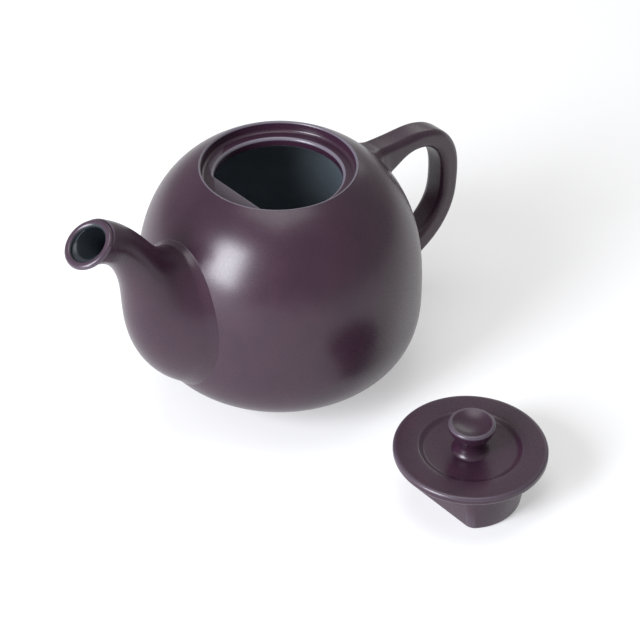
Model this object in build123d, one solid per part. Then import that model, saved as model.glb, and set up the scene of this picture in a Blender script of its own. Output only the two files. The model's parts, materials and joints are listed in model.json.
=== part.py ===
from build123d import *
import math
import os

# A lidded teapot, standing on its foot with its lid off and set down on the table beside it.
# Millimetres. Origin at the centre of the foot, on the table; +Z up; the spout points along -X,
# the handle along +X. The lid stands on its collar in front of the pot, along -Y.

# ---- driving dimensions: pot body -------------------------------------------------------------
belly_radius = 62.5          # the widest circle of the body
belly_height = 47.0          # how high that circle is
rim_height = 110.8           # top edge of the opening
shoulder_power = 2.49        # squareness of the curve above the belly (2 is an ellipse)
base_power = 2.8             # squareness of the curve below it
belly_drop = 41.3            # from the belly down to where the lower curve would close
wall = 4.3                   # clay wall of the body

# ---- driving dimensions: foot and base --------------------------------------------------------
foot_radius = 29.0
foot_width = 4.5
foot_edge = 0.8              # rounding of the foot's two lower edges

# ---- driving dimensions: gallery, the recess that takes the lid --------------------------------
gallery_radius = 32.8
gallery_depth = 5.05
ledge_thickness = 4.3
ledge_tuck = 3.0             # how far the ledge reaches under the shoulder
opening_radius = 27.3        # round part of the D-shaped opening
opening_flat = 21.5          # distance of its flat side from the axis, on the spout's side
opening_corner = 3.0         # rounding where the flat meets the round part

# ---- driving dimensions: spout ----------------------------------------------------------------
spout_wall = 3.4
bulb_middle = 58.0           # height of the middle of the bulb where it leaves the body
bulb_half_height = 34.0
bulb_half_width = 26.5
neck_radius = 8.8            # the spout's narrowest part, outside
mouth_reach = 35.8           # how far the mouth's middle stands out past the belly
mouth_above_rim = 6.0
mouth_radius = 11.0
mouth_lean = 56.0            # degrees that the mouth faces above the horizontal
strainer_hole = 4.0          # diameter of the holes through the body wall behind the spout
strainer_pitch = 8.0

# ---- driving dimensions: handle ---------------------------------------------------------------
handle_reach = 41.0          # how far its outside stands out past the belly
handle_thickness = 9.9       # across the strap, at the grip
handle_width = 13.0          # along Y
handle_edge = 3.2            # rounding of its four long edges
handle_top = 96.2            # height of its outside at the top
handle_bottom = 24.0         # height of its outside where it comes back to the body

# ---- driving dimensions: lid ------------------------------------------------------------------
lid_clearance = 0.45         # between the lid's edge and the gallery wall, all round
lid_thickness = 3.4
lid_edge = 1.3               # rounding of the disc's upper edge
panel_radius = 20.4          # the sunken panel in the middle of the disc
panel_depth = 1.5
panel_slope = 4.0            # width of the soft step down to the panel
collar_clearance = 2.0       # between the collar's round side and the opening, under the disc
collar_flat_clearance = 3.5  # the same on the flat side
collar_taper = 2.8           # how much the collar draws in on its way down
collar_corner = 5.0          # rounding of the collar's two upright corners
collar_height = 23.0
collar_wall = 3.6
knob_radius = 9.8
knob_height = 14.2           # above the panel
knob_waist = 6.4
knob_foot = 7.1
knob_brim = 1.5              # rounding of the head's upper edge
knob_dimple = 1.6

# ---- where the lid lies -----------------------------------------------------------------------
lid_x = 5.7
lid_y = -(belly_radius + 52.8)

# ---- values that follow -----------------------------------------------------------------------
ledge_height = rim_height - gallery_depth
lid_radius = gallery_radius - lid_clearance
BIG = 4 * (belly_radius + rim_height)


def squared_curve(radius, rise, power, stop_radius, steps=9):
    """Points (r, height above the belly) of a squared-off quarter ellipse, from the belly inwards."""
    end = math.acos((stop_radius / radius) ** (power / 2))
    angles = [end * i / steps for i in range(steps + 1)]
    return [
        (radius * math.cos(a) ** (2 / power), rise * math.sin(a) ** (2 / power)) for a in angles
    ]


def shoulder_rise():
    """The upper curve's full rise, which makes it pass through the rim's edge."""
    share = (1 - (gallery_radius / belly_radius) ** shoulder_power) ** (1 / shoulder_power)
    return (rim_height - belly_height) / share


def turned_form(inset, top_stop, base_stop):
    """The body's turned form, filled solid, with its surface moved in by inset.

    It is given a quarter turn, so that the seam of its turned faces is clear of spout and handle.
    """
    upper = squared_curve(belly_radius - inset, shoulder_rise() - inset, shoulder_power, top_stop)
    lower = squared_curve(belly_radius - inset, belly_drop - inset, base_power, base_stop)
    top_points = [(r, belly_height + h) for r, h in upper]
    base_points = [(r, belly_height - h) for r, h in lower]
    with BuildPart() as form:
        with BuildSketch(Plane.XZ):
            with BuildLine():
                shoulder = Spline(*top_points)
                base = Spline(*base_points)
                Line(shoulder @ 1, (0, top_points[-1][1]))
                Line((0, top_points[-1][1]), (0, base_points[-1][1]))
                Line((0, base_points[-1][1]), base @ 1)
            make_face()
        revolve(axis=Axis.Z)
    return Rot(0, 0, 90) * form.part


def upright_cylinder(radius, low, high):
    """A solid cylinder about the pot's axis, between two heights."""
    return Pos(0, 0, low) * Cylinder(radius, high - low, align=(Align.CENTER, Align.CENTER, Align.MIN))


def d_outline(radius, flat, corner):
    """A circle cut off by a flat on the spout's side, with its two corners rounded."""
    half_plane = Pos(-flat, 0) * Rectangle(BIG, BIG, align=(Align.MIN, Align.CENTER))
    shape = Circle(radius) & half_plane
    return fillet(shape.vertices(), corner)


def spout_stations(inset):
    """Ovals across the spout, from inside the body out to the mouth, moved in by inset.

    Each oval is a little taller than it is wide, so they all start at their top and the loft
    through them doesn't twist.
    """
    start_x = -(belly_radius - wall - 16)
    mouth_x = -(belly_radius + mouth_reach)
    mouth_z = rim_height + mouth_above_rim
    tall, wide = bulb_half_height, bulb_half_width
    # share of the reach, share of the rise, lean in degrees, half height, half width
    stations = [
        (0.000, 0.000, 0.0, tall, wide),
        (0.230, 0.022, 8.0, 0.956 * tall, 0.99 * wide),
        (0.401, 0.185, 23.5, 0.768 * tall, 0.755 * wide),
        (0.492, 0.361, 34.6, 0.550 * tall, 0.551 * wide),
        (0.560, 0.541, 43.0, 1.40 * neck_radius, 1.26 * neck_radius),
        (0.657, 0.747, 49.0, 1.03 * neck_radius, 1.02 * neck_radius),
        (0.782, 0.889, 48.0, 0.99 * neck_radius, 0.98 * neck_radius),
        (1.000, 1.000, mouth_lean, 1.005 * mouth_radius, mouth_radius),
    ]
    ovals = []
    for along, up, lean, half_height, half_width in stations:
        x = start_x + along * (mouth_x - start_x)
        z = bulb_middle + up * (mouth_z - bulb_middle)
        tilt = math.radians(lean)
        upwards = (math.sin(tilt), 0, math.cos(tilt))
        inwards = (math.cos(tilt), 0, -math.sin(tilt))
        plane = Plane(origin=(x, 0, z), x_dir=upwards, z_dir=inwards)
        ovals.append((plane, half_height - inset, half_width - inset))
    return ovals


def spout_form(inset, past_mouth=0.0):
    """A smooth solid through the spout's ovals, carried past the mouth if asked."""
    ovals = spout_stations(inset)
    if past_mouth:
        plane, half_height, half_width = ovals[-1]
        ovals.append((plane.offset(-past_mouth), half_height, half_width))
    return loft([plane * Ellipse(tall, wide) for plane, tall, wide in ovals])


def make_body_shell(outside, inside):
    """The body's wall: the turned form, hollow, open at the gallery and at the foot."""
    shell = outside - inside
    shell -= upright_cylinder(gallery_radius, belly_height, BIG)
    shell -= upright_cylinder(foot_radius, -BIG, belly_height)
    for row in range(-2, 3):
        for column in range(5 - abs(row)):
            y = (column - (4 - abs(row)) / 2) * strainer_pitch
            z = bulb_middle + row * strainer_pitch * math.sqrt(3) / 2
            drill = Rot(0, 90, 0) * Rot(0, 0, 90) * Cylinder(strainer_hole / 2, belly_radius)
            shell -= Pos(-belly_radius, y, z) * drill
    return shell


def make_gallery_ledge(shell):
    """The flat ring that the lid sits on, with the D-shaped opening through it."""
    ledge = upright_cylinder(gallery_radius + ledge_tuck, ledge_height - ledge_thickness, ledge_height)
    ledge -= shell
    opening = Pos(0, 0, ledge_height - 2 * ledge_thickness) * extrude(
        d_outline(opening_radius, opening_flat, opening_corner), 4 * ledge_thickness
    )
    return ledge - opening


def make_base_disc(outside, inside):
    """The disc that closes the bottom, inside the foot's circle."""
    return (outside & upright_cylinder(foot_radius, 0, belly_height)) - inside


def make_foot_ring(base_height):
    """The ring that the pot stands on, up to the underside of the base."""
    ring = upright_cylinder(foot_radius, 0, base_height)
    ring -= upright_cylinder(foot_radius - foot_width, -1, base_height + 1)
    low = ring.edges().filter_by(GeomType.CIRCLE).group_by(Axis.Z)[0]
    return fillet(low, foot_edge)


def make_spout(outside):
    """The hollow spout, from the body's surface to the mouth."""
    return (spout_form(0) - outside) - spout_form(spout_wall, past_mouth=spout_wall)


def handle_stations():
    """Points along the middle of the strap, each with the strap's thickness there."""
    half = handle_thickness / 2
    out = belly_radius + handle_reach - half
    top = handle_top - half
    return [
        (belly_radius - 20, top - 3.6, 1.75 * handle_thickness),
        (belly_radius - 4, top - 2.6, 1.55 * handle_thickness),
        (belly_radius + 6, top - 0.6, 1.03 * handle_thickness),
        (out - 19, top - 0.4, 0.87 * handle_thickness),
        (out - 8, top - 5.2, 0.93 * handle_thickness),
        (out - 1.6, top - 15, handle_thickness),
        (out, top - 28, handle_thickness),
        (out - 1.8, top - 40.5, 1.02 * handle_thickness),
        (out - 8, top - 50.5, 1.10 * handle_thickness),
        (out - 19, handle_bottom + 9, 1.12 * handle_thickness),
        (belly_radius + 2, handle_bottom + 3, 1.09 * handle_thickness),
        (belly_radius - 14, handle_bottom - 3, 1.04 * handle_thickness),
    ]


def make_handle(outside):
    """The strap handle: rounded oblongs across its middle line, joined smoothly, cut at the body."""
    stations = handle_stations()
    sections = []
    for i, (x, z, thickness) in enumerate(stations):
        before = stations[max(i - 1, 0)]
        after = stations[min(i + 1, len(stations) - 1)]
        way = Vector(after[0] - before[0], 0, after[1] - before[1])
        plane = Plane(origin=(x, 0, z), x_dir=(0, 1, 0), z_dir=way)
        sections.append(plane * RectangleRounded(handle_width, thickness, handle_edge))
    return loft(sections) - outside


def make_lid_disc():
    """The lid's disc, underside at height 0: rounded edge, flat border, softly sunken panel."""
    low = lid_thickness - panel_depth
    under = lid_edge / 2
    with BuildPart() as disc:
        with BuildSketch(Plane.XZ):
            with BuildLine():
                Polyline((0, low), (0, 0), (lid_radius - under, 0))
                RadiusArc((lid_radius - under, 0), (lid_radius, under), -under)
                Line((lid_radius, under), (lid_radius, lid_thickness - lid_edge))
                RadiusArc(
                    (lid_radius, lid_thickness - lid_edge),
                    (lid_radius - lid_edge, lid_thickness),
                    -lid_edge,
                )
                border = panel_radius + panel_slope / 2
                Line((lid_radius - lid_edge, lid_thickness), (border, lid_thickness))
                Spline(
                    (border, lid_thickness),
                    (border - panel_slope, low),
                    tangents=((-1, 0), (-1, 0)),
                )
                Line((border - panel_slope, low), (0, low))
            make_face()
        revolve(axis=Axis.Z)
    return disc.part


def make_lid_collar():
    """The hollow D-shaped collar under the disc, drawing in downwards, open at the bottom."""
    top_radius = opening_radius - collar_clearance
    top_flat = opening_flat - collar_flat_clearance
    levels = [(0, 0), (-collar_height, collar_taper)]
    outer = loft(
        [Pos(0, 0, z) * d_outline(top_radius - t, top_flat - t, collar_corner) for z, t in levels]
    )
    w = collar_wall
    hollow = [
        Pos(0, 0, z) * d_outline(top_radius - t - w, top_flat - t - w, collar_corner - w / 2)
        for z, t in levels
    ]
    return outer - loft(hollow)


def make_lid_knob():
    """The turned knob: a bead at its foot, a narrow waist, a flared side and a dimpled head."""
    seat = lid_thickness - panel_depth
    top = seat + knob_height
    with BuildPart() as knob:
        with BuildSketch(Plane.XZ):
            with BuildLine():
                Line((0, seat), (knob_foot - 0.6, seat))
                Spline(
                    (knob_foot - 0.6, seat),
                    (knob_foot, seat + 0.9),
                    (knob_waist, seat + 2.6),
                    tangents=((1, 0.3), (-0.1, 1)),
                )
                Spline(
                    (knob_waist, seat + 2.6),
                    (0.5 * (knob_waist + knob_radius), seat + 0.48 * knob_height),
                    (knob_radius, top - knob_brim),
                    tangents=((0.1, 1), (0, 1)),
                )
                RadiusArc((knob_radius, top - knob_brim), (knob_radius - knob_brim, top), -knob_brim)
                Spline(
                    (knob_radius - knob_brim, top),
                    (0.5 * knob_radius, top - 0.8 * knob_dimple),
                    (0, top - knob_dimple),
                    tangents=((-1, -0.25), (-1, 0)),
                )
                Line((0, top - knob_dimple), (0, seat))
            make_face()
        revolve(axis=Axis.Z)
    return knob.part


def main():
    os.makedirs("parts", exist_ok=True)
    outside = turned_form(0, gallery_radius, foot_radius)
    inside = turned_form(wall, 0.5, 0.5)
    base_height = outside.bounding_box().min.Z
    shell = make_body_shell(outside, inside)
    lid_place = Pos(lid_x, lid_y, collar_height)
    nodes = {
        "body_shell": shell,
        "gallery_ledge": make_gallery_ledge(shell),
        "base_disc": make_base_disc(outside, inside),
        "foot_ring": make_foot_ring(base_height),
        "spout": make_spout(outside),
        "handle": make_handle(outside),
        "lid_disc": lid_place * make_lid_disc(),
        "lid_collar": lid_place * make_lid_collar(),
        "lid_knob": lid_place * make_lid_knob(),
    }
    for name, piece in nodes.items():
        export_step(piece, f"parts/{name}.step")
        box = piece.bounding_box()
        print(name, len(piece.solids()), round(piece.volume), box.min, box.max)


main()
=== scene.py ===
# %% [markdown]
# # A clay teapot with its lid off
#
# The pot is one fired piece, made of parts that the potter forms apart and joins with slip: the
# turned body, the ledge that takes the lid, the spout, the handle and the foot. The lid is the
# other fired piece. The measured model gives every part its place and size, so this script first
# loads it as a fixed frame, and then draws the finished clay and glaze around it.

# %% Load the measured model
import json
import math

import bpy
import numpy as np
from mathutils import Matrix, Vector


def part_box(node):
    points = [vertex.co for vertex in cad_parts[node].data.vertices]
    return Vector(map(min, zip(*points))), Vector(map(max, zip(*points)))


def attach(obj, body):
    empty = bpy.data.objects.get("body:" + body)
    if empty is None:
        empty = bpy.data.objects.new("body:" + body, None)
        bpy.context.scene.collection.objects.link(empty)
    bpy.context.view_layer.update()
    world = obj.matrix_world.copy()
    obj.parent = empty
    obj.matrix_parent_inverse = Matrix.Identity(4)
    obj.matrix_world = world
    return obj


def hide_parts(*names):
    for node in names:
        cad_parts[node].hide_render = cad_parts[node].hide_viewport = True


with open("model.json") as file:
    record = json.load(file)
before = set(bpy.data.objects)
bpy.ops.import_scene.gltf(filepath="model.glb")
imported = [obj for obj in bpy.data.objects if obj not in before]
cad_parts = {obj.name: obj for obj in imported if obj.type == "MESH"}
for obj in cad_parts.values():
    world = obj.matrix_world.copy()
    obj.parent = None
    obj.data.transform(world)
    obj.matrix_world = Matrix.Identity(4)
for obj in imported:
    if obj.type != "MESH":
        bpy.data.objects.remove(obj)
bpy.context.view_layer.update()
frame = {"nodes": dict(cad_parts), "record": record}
MM = 0.001
print("nodes:", sorted(frame["nodes"]))

# %% [markdown]
# ## Sizes that the pieces share
#
# Overall sizes are read from the loaded model, so the clay follows it. The curves between them
# are the ones that the body was turned to: squared-off quarter ellipses, one above the belly and
# one below it. The wall, the lips and the soft joints are the potter's own small sizes.

# %% Read the sizes of the pot and the lid
shell_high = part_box("body_shell")[1]
belly_radius = shell_high.y
rim_height = shell_high.z
foot_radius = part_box("foot_ring")[1].x
ledge_low, ledge_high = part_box("gallery_ledge")
mounts = {mount["name"]: mount for mount in frame["record"]["mounts"]}
gallery_radius = mounts["gallery"]["dims"]["r_mm"] * MM
disc_low, disc_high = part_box("lid_disc")
lid_x = (disc_low.x + disc_high.x) / 2
lid_y = (disc_low.y + disc_high.y) / 2
belly_height = 47.0 * MM
belly_drop = 41.3 * MM
shoulder_power = 2.49
base_power = 2.8
wall = 4.3 * MM
print("belly radius", round(belly_radius / MM, 1), "mm, rim at", round(rim_height / MM, 1), "mm")

# %% [markdown]
# ## A few small tools
#
# Blender's operators act on whatever is selected, and the loaded model arrives selected, so each
# step starts by letting go of everything. A modifier is applied as soon as it is added, so a
# finished piece is plain mesh.


# %% Helpers for selecting and finishing
def only(piece):
    """Select one object and nothing else."""
    bpy.ops.object.select_all(action="DESELECT")
    piece.select_set(True)
    bpy.context.view_layer.objects.active = piece


def tidy_mesh(piece, merge=0.01 * MM):
    """Merge doubled vertices and turn every face outwards."""
    only(piece)
    bpy.ops.object.mode_set(mode="EDIT")
    bpy.ops.mesh.select_all(action="SELECT")
    bpy.ops.mesh.remove_doubles(threshold=merge)
    bpy.ops.mesh.normals_make_consistent(inside=False)
    bpy.ops.object.mode_set(mode="OBJECT")


def smooth(piece, angle=50):
    """Shade smoothly, but keep corners sharper than the angle crisp."""
    only(piece)
    bpy.ops.object.shade_smooth_by_angle(angle=math.radians(angle))


def add_modifier(piece, kind, **settings):
    """Add a modifier with its settings and apply it at once."""
    only(piece)
    modifier = piece.modifiers.new(kind.title(), kind)
    for name, value in settings.items():
        setattr(modifier, name, value)
    bpy.ops.object.modifier_apply(modifier=modifier.name)


# %% [markdown]
# ## A skin over rings
#
# Every part of this pot is round or nearly so, and could be modelled by extruding a circle again
# and again. A quicker way to the same mesh is to add one grid with a row for each ring and a
# column for each step around, and to lay its rows on the rings. The seam is then merged, and the
# first and last rows are either joined to each other, as in a hollow wall, or capped. A ring at
# an axis keeps a tiny radius, so that its points stay apart until the cap is made.


# %% Lay a grid over rings
def skin(name, rings, joined=False):
    """A quad mesh over a list of rings, each a closed list of points in metres."""
    if joined:
        rings = rings + [rings[0]]
    around = len(rings[0])
    bpy.ops.object.select_all(action="DESELECT")
    bpy.ops.mesh.primitive_grid_add(x_subdivisions=around, y_subdivisions=len(rings) - 1, size=0.1)
    piece = bpy.context.object
    piece.name = name
    piece.data.name = name
    places = [ring[step % around] for ring in rings for step in range(around + 1)]
    piece.data.vertices.foreach_set("co", np.array(places, np.float32).ravel())
    if not joined:
        bpy.ops.object.mode_set(mode="EDIT")
        bpy.ops.mesh.select_all(action="SELECT")
        bpy.ops.mesh.remove_doubles(threshold=0.01 * MM)
        bpy.ops.mesh.select_all(action="DESELECT")
        bpy.ops.mesh.select_non_manifold()
        bpy.ops.mesh.edge_face_add()
        bpy.ops.object.mode_set(mode="OBJECT")
    tidy_mesh(piece)
    smooth(piece)
    print(name, "has", len(piece.data.polygons), "faces")
    return piece


def turn(profile, around=192, axis=(0.0, 0.0)):
    """Rings for a profile of (radius, height) points turned about an upright axis."""
    steps = [2 * math.pi * i / around for i in range(around)]
    return [
        [(axis[0] + r * math.cos(a), axis[1] + r * math.sin(a), z) for a in steps]
        for r, z in profile
    ]


def round_corner(centre, radius, start, end, steps=6):
    """Points of an arc in the (radius, height) plane, between two angles in degrees."""
    angles = [math.radians(start + (end - start) * i / steps) for i in range(steps + 1)]
    return [(centre[0] + radius * math.cos(a), centre[1] + radius * math.sin(a)) for a in angles]


# %% [markdown]
# ## The body
#
# The real body is turned or cast in a mould, about four millimetres thick. Its form is one smooth
# curve from the foot to the opening. The curve is drawn once for the outside and once, a wall's
# thickness in, for the inside. Where it meets the opening the clay is wiped with a wet sponge,
# which leaves the small round edge that catches the light, so the profile has that arc in it.


# %% Draw the body's profile and turn it
def squared_curve(radius, rise, power, stop_radius, steps):
    """(radius, height from the belly) points of a squared-off quarter ellipse."""
    end = math.acos((stop_radius / radius) ** (power / 2))
    angles = [end * i / steps for i in range(steps + 1)]
    return [
        (radius * math.cos(a) ** (2 / power), rise * math.sin(a) ** (2 / power)) for a in angles
    ]


rim_share = (1 - (gallery_radius / belly_radius) ** shoulder_power) ** (1 / shoulder_power)
shoulder_rise = (rim_height - belly_height) / rim_share
rim_round = 0.8 * MM
cove = 1.3 * MM
cove_tail = 1.5 * MM
recess_wall = 1.6 * MM
ledge_top = ledge_high.z

outer_top = squared_curve(
    belly_radius, shoulder_rise, shoulder_power, gallery_radius + 1.3 * rim_round, 48
)
outer_base = squared_curve(belly_radius, belly_drop, base_power, foot_radius, 30)
inner_top = squared_curve(
    belly_radius - wall, shoulder_rise - wall, shoulder_power, gallery_radius + recess_wall, 30
)
inner_base = squared_curve(belly_radius - wall, belly_drop - wall, base_power, foot_radius, 24)
body_profile = [(r, belly_height - h) for r, h in reversed(outer_base)]
body_profile += [(r, belly_height + h) for r, h in outer_top[1:]]
body_profile += round_corner(
    (gallery_radius + rim_round, rim_height - 1.25 * rim_round), rim_round, 75, 180
)
body_profile += round_corner((gallery_radius - cove, ledge_top + cove), cove, 0, -90, 5)
body_profile += [(gallery_radius - cove, ledge_top - cove_tail)]
body_profile += [(r, belly_height + h) for r, h in reversed(inner_top)]
body_profile += [(r, belly_height - h) for r, h in inner_base[1:]]
pot_body = skin("pot_body", turn(body_profile), joined=True)

# %% [markdown]
# ## The strainer
#
# Behind the spout the wall is pierced with a cluster of holes that hold the leaves back. The
# potter pushes a brass tube through the leather-hard clay, row by row. Here a Boolean does the
# same with one cylinder for each hole.

# %% Pierce the strainer
strainer_radius = 2.0 * MM
strainer_pitch = 8.0 * MM
strainer_middle = 58.0 * MM
strainer_rows = (3, 4, 5, 4, 3)
punch_length = 20 * MM
bpy.ops.object.select_all(action="DESELECT")
punches = []
for row, count in enumerate(strainer_rows):
    for place in range(count):
        bpy.ops.mesh.primitive_cylinder_add(
            vertices=24, radius=strainer_radius, depth=punch_length,
            location=(
                -(belly_radius - wall / 2),
                (place - (count - 1) / 2) * strainer_pitch,
                strainer_middle + (row - 2) * strainer_pitch * math.sqrt(3) / 2,
            ),
            rotation=(0, math.pi / 2, 0),
        )
        punches.append(bpy.context.object)
bpy.ops.object.select_all(action="DESELECT")
for punch in punches:
    punch.select_set(True)
bpy.context.view_layer.objects.active = punches[0]
bpy.ops.object.join()
punches = bpy.context.object
bpy.ops.object.transform_apply(location=True, rotation=True, scale=True)
add_modifier(pot_body, "BOOLEAN", operation="DIFFERENCE", object=punches, solver="EXACT")
bpy.data.objects.remove(punches)
smooth(pot_body)
print("pot_body has", len(pot_body.data.polygons), "faces with its strainer")

# %% [markdown]
# ## How far a point is from the body
#
# The spout and the handle are joined to the body with slip, and the potter's finger leaves a
# small hollow curve all round the joint. To draw it, the script asks how far each point of the
# spout stands off the body, and which way is straight out from it. The body's curve has a
# formula, so both come from the formula and its slope, with no searching.


# %% Measure from the body's surface
def off_body(point):
    """(distance out from the body's surface, outward direction) near that surface."""
    x, y, z = point
    radius = math.hypot(x, y)
    if z > belly_height:
        rise, power, side = shoulder_rise, shoulder_power, 1
    else:
        rise, power, side = belly_drop, base_power, -1
    out = radius / belly_radius
    up = abs(z - belly_height) / rise
    value = (out**power + up**power) ** (1 / power)
    scale = value ** (1 - power)
    slope_out = scale * out ** (power - 1) / belly_radius
    slope_up = side * scale * up ** (power - 1) / rise
    steep = math.hypot(slope_out, slope_up)
    away = Vector((slope_out * x / radius, slope_out * y / radius, slope_up)) / steep
    return (value - 1) / steep, away


def join_softly(point, normal, fillet, depth=2.4 * MM, flare=0.6):
    """Move a point of a joined part out along the body, so that the joint becomes a hollow curve.

    Points further off than the fillet stay. The others move aside by up to flare of the fillet,
    and points inside the clay stop at a small depth.
    """
    point = Vector(point)
    distance, away = off_body(point)
    if distance >= fillet:
        return point
    aside = Vector(normal) - away * Vector(normal).dot(away)
    share = min(max(distance / fillet, 0.0), 1.0)
    point += aside * flare * fillet * (1 - share) ** 2
    wanted = max(distance, -depth)
    for _ in range(3):
        now, away = off_body(point)
        point -= away * (now - wanted)
    return point


# %% [markdown]
# ## A smooth way through stations
#
# The spout is drawn as a boatbuilder draws a hull: a few cross-sections at chosen stations, and a
# smooth run from each to the next. The run is a cubic spline, which passes through every station
# with no kinks. This helper solves the spline's few equations, and the knob is drawn with it too.


# %% Run a spline through rows of numbers
def spline_rows(rows, steps):
    """Rows of numbers joined by a natural cubic spline, read at even steps along it."""
    rows = np.array(rows, float)
    gaps = np.linalg.norm(np.diff(rows[:, :2], axis=0), axis=1)
    knots = np.concatenate([[0], np.cumsum(gaps)])
    count = len(rows)
    system = np.eye(count)
    right = np.zeros_like(rows)
    for i in range(1, count - 1):
        before, after = gaps[i - 1], gaps[i]
        system[i, i - 1 : i + 2] = before, 2 * (before + after), after
        right[i] = 6 * ((rows[i + 1] - rows[i]) / after - (rows[i] - rows[i - 1]) / before)
    bend = np.linalg.solve(system, right)
    found = []
    for place in np.linspace(0, knots[-1], steps):
        i = min(int(np.searchsorted(knots, place, side="right")) - 1, count - 2)
        gap, from_left, to_right = gaps[i], place - knots[i], knots[i + 1] - place
        found.append(
            (bend[i] * to_right**3 + bend[i + 1] * from_left**3) / (6 * gap)
            + (rows[i] / gap - bend[i] * gap / 6) * to_right
            + (rows[i + 1] / gap - bend[i + 1] * gap / 6) * from_left
        )
    return found


# %% [markdown]
# ## The spout
#
# The spout swells into a deep bulb where it meets the body, and draws in to a short neck that
# looks up and out. Each station gives a place along X and a height in millimetres, the lean of
# the section in degrees, and its half height and half width. The wall thins a little towards the
# lip, and the lip is wiped round.

# %% Lay the spout's rings
spout_stations = [
    (-42.2, 58.0, 0.0, 34.00, 26.50),
    (-55.1, 59.3, 8.0, 32.50, 26.23),
    (-64.7, 68.9, 23.5, 26.11, 20.01),
    (-69.8, 79.2, 34.6, 18.70, 14.60),
    (-73.6, 89.8, 43.0, 12.32, 11.09),
    (-79.1, 101.9, 49.0, 9.06, 8.98),
    (-86.1, 110.3, 48.0, 8.71, 8.62),
    (-98.3, 116.8, 56.0, 11.05, 11.00),
]
spout_wall = 3.4
lip_wall = 3.3
lip_clearance = 0.25
lip_steps = 8
spout_fillet = 3.0 * MM
spout_around = 160


def spout_ring(row, inset, out=0.0):
    """One ring of the spout, moved in by inset and out along the flow by out."""
    x, z, lean, half_height, half_width = row
    tilt = math.radians(lean)
    upwards = Vector((math.sin(tilt), 0, math.cos(tilt)))
    flow = Vector((-math.cos(tilt), 0, math.sin(tilt)))
    ring = []
    for step in range(spout_around):
        a = 2 * math.pi * step / spout_around
        high, wide = half_height - inset, half_width - inset
        point = Vector((x, 0, z)) + upwards * high * math.cos(a) + flow * out
        point.y += wide * math.sin(a)
        normal = upwards * (math.cos(a) / high) + Vector((0, math.sin(a) / wide, 0))
        ring.append(join_softly(point * MM, normal.normalized(), spout_fillet))
    return ring


rows = spline_rows(spout_stations, 150)
lip_half = lip_wall / 2
lip_drop = lip_half + lip_clearance
below_lip = [row for row in rows if math.dist(row[:2], rows[-1][:2]) > lip_drop]
spout_rings = [spout_ring(row, 0) for row in below_lip]
for step in range(lip_steps + 1):
    a = math.pi * step / lip_steps
    inset = lip_half * (1 - math.cos(a))
    spout_rings.append(spout_ring(rows[-1], inset, lip_half * math.sin(a) - lip_drop))
for share, row in zip(np.linspace(0, 1, len(below_lip)), reversed(below_lip)):
    thickness = lip_wall + (spout_wall - lip_wall) * min(1, 5 * share)
    spout_rings.append(spout_ring(row, thickness))
spout = skin("spout_glazed", spout_rings, joined=True)

# %% [markdown]
# ## The handle
#
# The handle is a strap pulled from a lump of clay: flat on its sides, rounded at its four long
# edges, and thickest where it leaves the shoulder. Each station gives a distance out from the
# pot's axis, a height and a thickness, in millimetres. The way that each section faces is read
# off the strap's own middle line.

# %% Lay the handle's rings
handle_stations = [
    (42.5, 87.7, 17.3),
    (58.5, 88.7, 15.3),
    (68.5, 90.7, 10.2),
    (79.5, 90.8, 8.6),
    (90.5, 86.0, 9.2),
    (97.0, 76.2, 9.9),
    (98.5, 63.2, 9.9),
    (96.8, 50.8, 10.1),
    (90.5, 40.8, 10.9),
    (79.5, 33.0, 11.1),
    (64.5, 27.0, 10.8),
    (48.5, 21.0, 10.3),
]
handle_width = 13.0
handle_edge = 3.3
handle_fillet = 4.0 * MM


def strap_outline(thickness, per_corner=14):
    """Points and normals, across and along the width, of a rounded oblong in millimetres."""
    flat_t, flat_w = thickness / 2 - handle_edge, handle_width / 2 - handle_edge
    points = []
    for corner, (side_t, side_w) in enumerate([(1, 1), (-1, 1), (-1, -1), (1, -1)]):
        for step in range(per_corner + 1):
            a = math.radians(90 * corner + 90 * step / per_corner)
            across, along = math.cos(a), math.sin(a)
            points.append(
                (side_t * flat_t + handle_edge * across, side_w * flat_w + handle_edge * along,
                 across, along)
            )
    return points


handle_rows = spline_rows(handle_stations, 130)
handle_rings = []
for i, (x, z, thickness) in enumerate(handle_rows):
    before = handle_rows[max(i - 1, 0)]
    after = handle_rows[min(i + 1, len(handle_rows) - 1)]
    way = Vector((after[0] - before[0], 0, after[1] - before[1])).normalized()
    across_way = Vector((-way.z, 0, way.x))
    ring = []
    for across, along, normal_t, normal_w in strap_outline(thickness):
        point = Vector((x, 0, z)) + across_way * across + Vector((0, along, 0))
        normal = across_way * normal_t + Vector((0, normal_w, 0))
        ring.append(join_softly(point * MM, normal, handle_fillet))
    handle_rings.append(ring)
handle = skin("handle_glazed", handle_rings)

# %% [markdown]
# ## The lid and its knob
#
# The lid's disc is turned, with a rounded edge and a shallow dish in the middle, and its knob is
# thrown on it: a foot that flares into the dish, a narrow waist for the fingers, and a head with a
# thumb's hollow. Both are drawn as half a section, in millimetres from the lid's own axis and
# from the underside of the disc, and turned about that axis.

# %% Turn the lid's disc and its knob
lid_radius = (disc_high.x - disc_low.x) / 2 / MM
lid_base = disc_low.z / MM
knob_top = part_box("lid_knob")[1].z / MM - lid_base
disc_thick = 3.4
disc_edge = 1.3
under_edge = 0.9
dish_depth = 1.5
dish_radius = 20.6
dish_slope = 3.2
dish_floor = disc_thick - dish_depth
at_axis = 0.02


def soft_step(start, end, steps=12):
    """Points of a soft S from one (radius, height) to another."""
    points = []
    for i in range(steps + 1):
        share = i / steps
        ease = share * share * (3 - 2 * share)
        points.append(
            (start[0] + (end[0] - start[0]) * share, start[1] + (end[1] - start[1]) * ease)
        )
    return points


def lid_rings(profile, around=128):
    """Rings about the lid's axis for a half section in millimetres."""
    return turn([(r * MM, (z + lid_base) * MM) for r, z in profile], around, (lid_x, lid_y))


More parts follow.
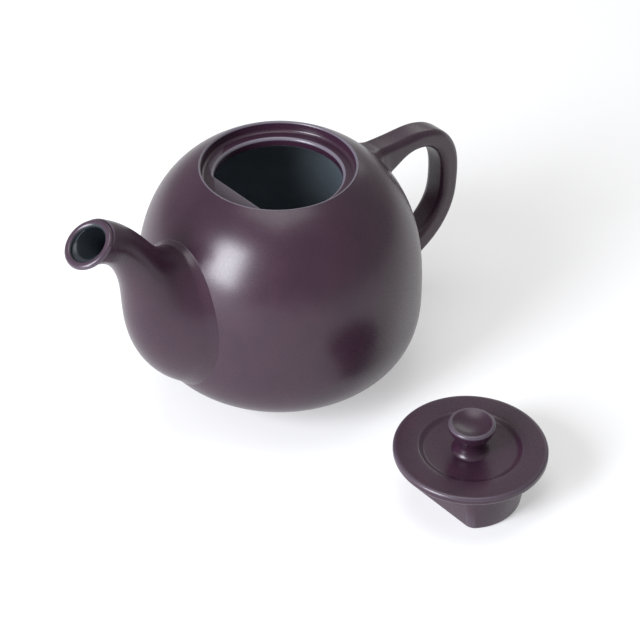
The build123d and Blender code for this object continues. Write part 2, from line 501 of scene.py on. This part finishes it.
disc_profile = [(at_axis, 0.0), (15.0, 0.0), (lid_radius - disc_edge, 0.0)]
disc_profile += round_corner((lid_radius - under_edge, under_edge), under_edge, -90, 0)
disc_profile += round_corner((lid_radius - disc_edge, disc_thick - disc_edge), disc_edge, 0, 90)
disc_profile += [
    (lid_radius - disc_edge - 0.6, disc_thick),
    (27.0, disc_thick - 0.05),
    (24.6, disc_thick - 0.1),
]
disc_profile += soft_step(
    (dish_radius + dish_slope / 2, disc_thick - 0.13), (dish_radius - dish_slope / 2, dish_floor)
)
disc_profile += [(12.0, dish_floor - 0.02), (at_axis, dish_floor - 0.02)]
lid_disc = skin("lid_disc_glazed", lid_rings(disc_profile))

head_radius = 9.8
brim = 1.1
knob_foot = 8.9
knob_tuck = 0.6
knob_profile = [(at_axis, dish_floor - knob_tuck), (knob_foot, dish_floor - knob_tuck)]
knob_profile += spline_rows(
    [
        (knob_foot, dish_floor - 0.4),
        (7.5, dish_floor + 0.4),
        (6.75, dish_floor + 1.7),
        (6.35, dish_floor + 3.4),
        (6.7, dish_floor + 5.4),
        (8.1, dish_floor + 8.2),
        (9.35, dish_floor + 10.8),
        (head_radius, knob_top - brim - 0.5),
    ],
    40,
)[1:]
knob_profile += round_corner((head_radius - brim, knob_top - brim), brim, 0, 80, 7)
knob_profile += spline_rows(
    [
        (head_radius - brim - 0.2, knob_top - 0.02),
        (7.4, knob_top - 0.45),
        (5.2, knob_top - 1.15),
        (2.5, knob_top - 1.6),
        (at_axis, knob_top - 1.7),
    ],
    20,
)
lid_knob = skin("lid_knob_glazed", lid_rings([tuple(point) for point in knob_profile]))

# %% [markdown]
# ## The D of the opening and of the collar
#
# The opening is a circle with one side cut flat, and the collar under the lid has the same shape a
# little smaller, so the lid goes on one way round and can't turn. The potter cuts the D with a
# knife and wipes every edge round with a sponge. Each is drawn as rings of that outline, moved in
# or out by the steps of a round edge. Out in the wall, where the ledge has no flat, the same rings
# are drawn with a flat so far out that they are all but round.


# %% Draw the ledge and the collar as rings of a D
def d_ring(radius, flat, corner, height, axis=(0.0, 0.0)):
    """A D-shaped ring in millimetres, its flat towards -X, about an upright axis in metres."""
    x, y = corner - flat, math.sqrt((radius - corner) ** 2 - (flat - corner) ** 2)
    meet = math.atan2(y, x)
    points = []
    for i in range(96):
        a = -meet + 2 * meet * i / 96
        points.append((radius * math.cos(a), radius * math.sin(a)))
    for i in range(12):
        a = meet + (math.pi - meet) * i / 12
        points.append((x + corner * math.cos(a), y + corner * math.sin(a)))
    for i in range(24):
        points.append((-flat, y - 2 * y * i / 24))
    for i in range(12):
        a = math.pi + (math.pi - meet) * i / 12
        points.append((x + corner * math.cos(a), -y + corner * math.sin(a)))
    return [(axis[0] + px * MM, axis[1] + py * MM, height * MM) for px, py in points]


opening_radius = 27.3
opening_flat = 21.5
opening_corner = 3.0
ledge_over = 1.3
ledge_under = 0.8
wall_cover = 0.8
edge_steps = 6


def opening_ring(edge, angle, level):
    """A ring of the opening's D where an edge of a radius has turned to an angle."""
    move = edge * (1 - math.cos(angle))
    return d_ring(opening_radius + move, opening_flat + move, opening_corner + move, level)


def hidden_ring(reach, height):
    """A nearly round ring inside the body's clay."""
    return d_ring(reach, reach - 1, reach - 2, height)


top, bottom = ledge_high.z / MM, ledge_low.z / MM
ledge_rings = [hidden_ring(gallery_radius / MM + wall_cover, top)]
for i in range(edge_steps + 1):
    a = math.radians(90 - 90 * i / edge_steps)
    ledge_rings.append(opening_ring(ledge_over, a, top - ledge_over * (1 - math.sin(a))))
for i in range(edge_steps + 1):
    a = math.radians(-90 * i / edge_steps)
    ledge_rings.append(opening_ring(ledge_under, a, bottom + ledge_under * (1 + math.sin(a))))
ledge_rings.append(hidden_ring(ledge_high.x / MM, bottom))
ledge = skin("ledge_glazed", ledge_rings, joined=True)

collar_radius = 25.3
collar_flat = 18.0
collar_corner = 5.0
least_corner = 1.6
collar_round = 1.0
collar_wall = 3.6
collar_taper = 2.8
collar_tuck = 0.3
collar_top = disc_low.z / MM


def collar_ring(inset, height):
    """One ring of the collar, which draws in on its way down."""
    taper = collar_taper * (1 - height / collar_top)
    move = inset + taper
    corner = max(collar_corner - inset, least_corner)
    return d_ring(collar_radius - move, collar_flat - move, corner, height, (lid_x, lid_y))


collar_rings = [collar_ring(0, collar_top + collar_tuck), collar_ring(0, collar_top * 0.5)]
for i in range(edge_steps + 1):
    a = math.radians(90 * i / edge_steps)
    inset = collar_round * (1 - math.cos(a))
    collar_rings.append(collar_ring(inset, collar_round * (1 - math.sin(a))))
for i in range(edge_steps + 1):
    a = math.radians(90 - 90 * i / edge_steps)
    inset = collar_wall - collar_round * (1 - math.cos(a))
    collar_rings.append(collar_ring(inset, collar_round * (1 - math.sin(a))))
collar_rings.append(collar_ring(collar_wall, collar_top + collar_tuck))
collar = skin("collar_glazed", collar_rings, joined=True)

# %% [markdown]
# ## Where the glaze breaks, and a painted edge highlight
#
# A molten glaze pulls back from every sharp edge and leaves it thinner and paler: potters say that
# it breaks there. The pale blue-grey painted on the edges is partly that break and partly a
# painted highlight, the narrow line of light that a rounded edge catches. To paint it, each vertex
# gets a number for how tightly the clay curves outwards at it, worked out from how fast its
# normal turns, and the glaze reads it.


# %% Mark the edges that curve outwards, to be painted paler
def mark_breaks_and_highlights(piece, strength, lowest=0.0, soft=0.4, sharp=1.0, wide_face=0.75):
    """Store 0 on gentle clay and 1 on edges, from the outward curvature per millimetre.

    A face more than wide_face millimetres across isn't part of an edge, so its corners get 0.
    """
    mesh = piece.data
    count = len(mesh.vertices)
    places = np.zeros(count * 3)
    normals = np.zeros(count * 3)
    pairs = np.zeros(len(mesh.edges) * 2, int)
    mesh.vertices.foreach_get("co", places)
    mesh.vertices.foreach_get("normal", normals)
    mesh.edges.foreach_get("vertices", pairs)
    places, normals, pairs = places.reshape(-1, 3), normals.reshape(-1, 3), pairs.reshape(-1, 2)
    along = places[pairs[:, 0]] - places[pairs[:, 1]]
    turning = normals[pairs[:, 0]] - normals[pairs[:, 1]]
    length = np.maximum((along**2).sum(1), (0.08 * MM) ** 2)
    bend = (along * turning).sum(1) / length * MM
    tight = np.zeros(count)
    np.maximum.at(tight, pairs[:, 0], bend)
    np.maximum.at(tight, pairs[:, 1], bend)
    # How pale each vertex is painted: partly glaze break, partly a painted highlight on the edge.
    share = strength * np.clip((tight - soft) / (sharp - soft), 0, 1)
    for face in mesh.polygons:
        corners = list(face.vertices)
        sides = places[corners] - places[corners[1:] + corners[:1]]
        longest = math.sqrt((sides**2).sum(1).max())
        if face.area / longest > wide_face * MM:
            share[corners] = 0
    share[places[:, 2] < lowest] = 0
    attribute = mesh.attributes.new("glaze_break_and_highlight", "FLOAT", "POINT")
    attribute.data.foreach_set("value", share.astype(np.float32))
    print(piece.name, "breaks at", int((share > 0.1).sum()), "of", count, "vertices")


# Each piece's strength sets how pale its edges are painted, as glaze break and painted highlight.
mark_breaks_and_highlights(pot_body, 0.55, lowest=rim_height - 2 * rim_round)
mark_breaks_and_highlights(ledge, 1.0, lowest=ledge_top - ledge_over * MM)
mark_breaks_and_highlights(spout, 0.25)
mark_breaks_and_highlights(handle, 0.1)
mark_breaks_and_highlights(lid_disc, 0.3)
mark_breaks_and_highlights(lid_knob, 0.3)
mark_breaks_and_highlights(collar, 0.4)

# %% [markdown]
# ## Glaze and clay
#
# The pot wears a satin plum glaze over a fine dark clay. Satin glaze is full of crystals too small
# to see: it spreads a reflection instead of mirroring it, so windows turn into soft clouds. The
# colour gathers a little in some places and thins in others, over a centimetre or two, and the
# surface has a fine tooth. The tooth's size and height are given in millimetres: about half a
# millimetre across on the plum glaze and the bare clay, and coarser on the liners.


# %% A helper for nodes, and one for colours
def linear(hex_colour):
    """A colour written as in a paint chart, turned into the linear light that shaders use."""
    channels = [int(hex_colour[i : i + 2], 16) / 255 for i in (1, 3, 5)]
    return [c / 12.92 if c <= 0.04045 else ((c + 0.055) / 1.055) ** 2.4 for c in channels] + [1.0]


def add_node(tree, kind, links=None, **settings):
    """Add a node, set its values by socket name or property, and link its inputs."""
    node = tree.nodes.new(kind)
    for name, value in settings.items():
        label = name.replace("_", " ").title()
        if hasattr(node, name):
            setattr(node, name, value)
        else:
            node.inputs[label].default_value = value
    for socket, source in (links or {}).items():
        tree.links.new(source, node.inputs[socket])
    return node


def clay_material(name, dark, light, roughness, tooth_mm, tooth_height_mm, break_and_highlight_colour=None):
    """A fired surface whose colour drifts between two shades, with a fine tooth, and edges painted
    paler as glaze break and painted highlight.
    """
    material = bpy.data.materials.new(name)
    material.use_nodes = True
    tree = material.node_tree
    tree.nodes.clear()
    place = add_node(tree, "ShaderNodeTexCoord")
    drift = add_node(
        tree, "ShaderNodeTexNoise", {"Vector": place.outputs["Object"]},
        scale=1 / (14 * MM), detail=3.0, roughness=0.55,
    )
    colour = add_node(tree, "ShaderNodeValToRGB", {"Fac": drift.outputs["Fac"]})
    colour.color_ramp.elements[0].position = 0.35
    colour.color_ramp.elements[0].color = linear(dark)
    colour.color_ramp.elements[1].position = 0.68
    colour.color_ramp.elements[1].color = linear(light)
    tooth = add_node(
        tree, "ShaderNodeTexNoise", {"Vector": place.outputs["Object"]},
        scale=1 / (tooth_mm * MM), detail=2.0, roughness=0.6,
    )
    gloss = add_node(
        tree, "ShaderNodeMapRange", {"Value": tooth.outputs["Fac"]},
        from_min=0.3, from_max=0.7, to_min=roughness - 0.03, to_max=roughness + 0.04,
    )
    bump = add_node(
        tree, "ShaderNodeBump", {"Height": tooth.outputs["Fac"]},
        strength=1.0, distance=tooth_height_mm * MM,
    )
    surface = colour.outputs["Color"]
    # The marked edges are painted paler: partly glaze break, partly a painted highlight.
    if break_and_highlight_colour:
        edges = add_node(tree, "ShaderNodeAttribute", attribute_name="glaze_break_and_highlight")
        pale_edge_mix = add_node(tree, "ShaderNodeMix", data_type="RGBA", blend_type="MIX")
        tree.links.new(edges.outputs["Fac"], pale_edge_mix.inputs[0])
        tree.links.new(surface, pale_edge_mix.inputs[6])
        pale_edge_mix.inputs[7].default_value = linear(break_and_highlight_colour)
        surface = pale_edge_mix.outputs[2]
    shader = add_node(
        tree, "ShaderNodeBsdfPrincipled",
        {
            "Base Color": surface,
            "Roughness": gloss.outputs["Result"],
            "Normal": bump.outputs["Normal"],
        },
    )
    shader.inputs["IOR"].default_value = 1.5
    add_node(tree, "ShaderNodeOutputMaterial", {"Surface": shader.outputs["BSDF"]})
    return material


# The plum glaze's last colour is painted on its edges: partly glaze break, partly painted
# highlight.
plum_glaze = clay_material("satin_plum_glaze", "#2e1a29", "#341e2d", 0.29, 0.6, 0.003, "#77737e")
# The pot's liner is painted lighter than the spout's, as painted light for the dim inside; both
# are one dark glaze.
lighter_liner = clay_material("slate_liner_painted_lighter", "#6f7a82", "#78838b", 0.5, 1.2, 0.004)
spout_liner = clay_material("black_spout_glaze", "#1f2429", "#24292e", 0.3, 1.2, 0.006)
bare_clay = clay_material("unglazed_dark_stoneware", "#3b2a28", "#4a3632", 0.78, 0.5, 0.03)
print("materials:", [m.name for m in (plum_glaze, lighter_liner, spout_liner, bare_clay)])

# %% [markdown]
# ## Dress the pieces
#
# Each drawn piece replaces the plain measured one that it was drawn around, and rides on the same
# body. The measured base and foot are right as they are, and stay bare clay, as a foot must where
# it stands in the kiln. Inside, the pot has a liner glaze on the wall's inner faces, under the
# ledge and over the base, painted a lighter slate as painted light for the dim inside. The spout's
# channel has the same liner in a darker shade.


# %% Give every piece its glaze and its body
def wear(piece, material):
    """Give a piece one material."""
    piece.data.materials.clear()
    piece.data.materials.append(material)


def stands_for(piece, node, body, material):
    """A drawn piece takes a measured node's place."""
    wear(piece, material)
    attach(piece, body)
    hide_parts(node)


stands_for(pot_body, "body_shell", "pot", plum_glaze)
stands_for(ledge, "gallery_ledge", "pot", plum_glaze)
stands_for(spout, "spout", "pot", plum_glaze)
stands_for(handle, "handle", "pot", plum_glaze)
stands_for(collar, "lid_collar", "lid", plum_glaze)
stands_for(lid_disc, "lid_disc", "lid", plum_glaze)
stands_for(lid_knob, "lid_knob", "lid", plum_glaze)
for node in ("base_disc", "foot_ring"):
    wear(frame["nodes"][node], bare_clay)


def line_inside(piece, test, liner):
    """Give the faces that pass a test a liner glaze."""
    piece.data.materials.append(liner)
    lined = 0
    for face in piece.data.polygons:
        if test(face.center, face.normal):
            face.material_index = 1
            lined += 1
    print(piece.name, "is lined over", lined, "faces")


def inside_wall(centre, normal):
    """True for the wall's inner faces, below the band that the ledge covers."""
    return centre.z < ledge_top - recess_wall and off_body(centre)[0] < -0.7 * wall


# Inside the pot the liner is the lighter shade, painted to stand in for light.
line_inside(pot_body, inside_wall, lighter_liner)
line_inside(frame["nodes"]["base_disc"], lambda centre, normal: normal.z > 0.1, lighter_liner)
line_inside(ledge, lambda centre, normal: normal.z < -0.5, lighter_liner)


def inside_spout(centre, normal):
    """True for the channel's faces, which look towards the middle line of the spout."""
    x, z = centre.x / MM, centre.z / MM
    middle = min(rows, key=lambda row: math.hypot(row[0] - x, row[1] - z))
    inwards = Vector((middle[0] * MM, 0, middle[1] * MM)) - centre
    least_wall = 2.7
    return inwards.dot(normal) > 0 and inwards.length < (middle[3] - least_wall) * MM


line_inside(spout, inside_spout, spout_liner)

# %% [markdown]
# ## Floor, light and camera
#
# The pot stands on a seamless white table under studio softboxes. Satin glaze shows the boxes as
# soft clouds: one overhead makes the band along the shoulder, and one on the spout's side makes
# the bright patch beside it. The table glows a little, so that it burns out to white.

# %% Set the table, the lights and the camera
bpy.ops.object.select_all(action="DESELECT")
bpy.ops.mesh.primitive_plane_add(size=8.0, location=(0, 0, 0))
table = bpy.context.object
table.name = "table"
paper = bpy.data.materials.new("white_acrylic_table")
paper.use_nodes = True
acrylic = paper.node_tree.nodes["Principled BSDF"]
acrylic.inputs["Base Color"].default_value = linear("#cfcfcf")
acrylic.inputs["Roughness"].default_value = 0.9
acrylic.inputs["Specular IOR Level"].default_value = 0.0
acrylic.inputs["Emission Color"].default_value = linear("#ffffff")
acrylic.inputs["Emission Strength"].default_value = 0.33
wear(table, paper)


def softbox(name, place, aim, size, radiance, colour="#ffffff"):
    """An area light of a size in metres, aimed at a point, as bright as its radiance."""
    bpy.ops.object.light_add(type="AREA", location=place)
    box = bpy.context.object
    box.name = name
    box.data.shape = "RECTANGLE"
    box.data.size, box.data.size_y = size
    box.data.energy = radiance * math.pi * size[0] * size[1]
    box.data.color = linear(colour)[:3]
    box.rotation_euler = (Vector(aim) - Vector(place)).to_track_quat("-Z", "Y").to_euler()


softbox("overhead_box", (0.0, 0.0, 1.30), (0, 0, 0.05), (0.75, 0.75), 2.8)
softbox("handle_side_box", (1.10, 0.55, 0.70), (0, 0, 0.05), (0.6, 0.5), 1.6)
softbox("spout_side_box", (-1.05, -0.06, 0.55), (-0.04, 0, 0.08), (0.46, 0.74), 22, "#f5f7ff")

world = bpy.data.worlds.new("studio")
bpy.context.scene.world = world
world.use_nodes = True
world.node_tree.nodes["Background"].inputs["Color"].default_value = linear("#ffffff")
world.node_tree.nodes["Background"].inputs["Strength"].default_value = 0.45

camera_data = bpy.data.cameras.new("camera")
camera_data.lens = 106.9
camera = bpy.data.objects.new("camera", camera_data)
bpy.context.scene.collection.objects.link(camera)
camera.location = (-0.4247, -0.5144, 0.5585)
camera.rotation_euler = (math.radians(90 - 38.58), 0, math.radians(-41.05))
bpy.context.scene.camera = camera
bpy.context.scene.view_settings.view_transform = "Standard"
print("camera at", [round(c, 3) for c in camera.location], "lens", round(camera_data.lens), "mm")
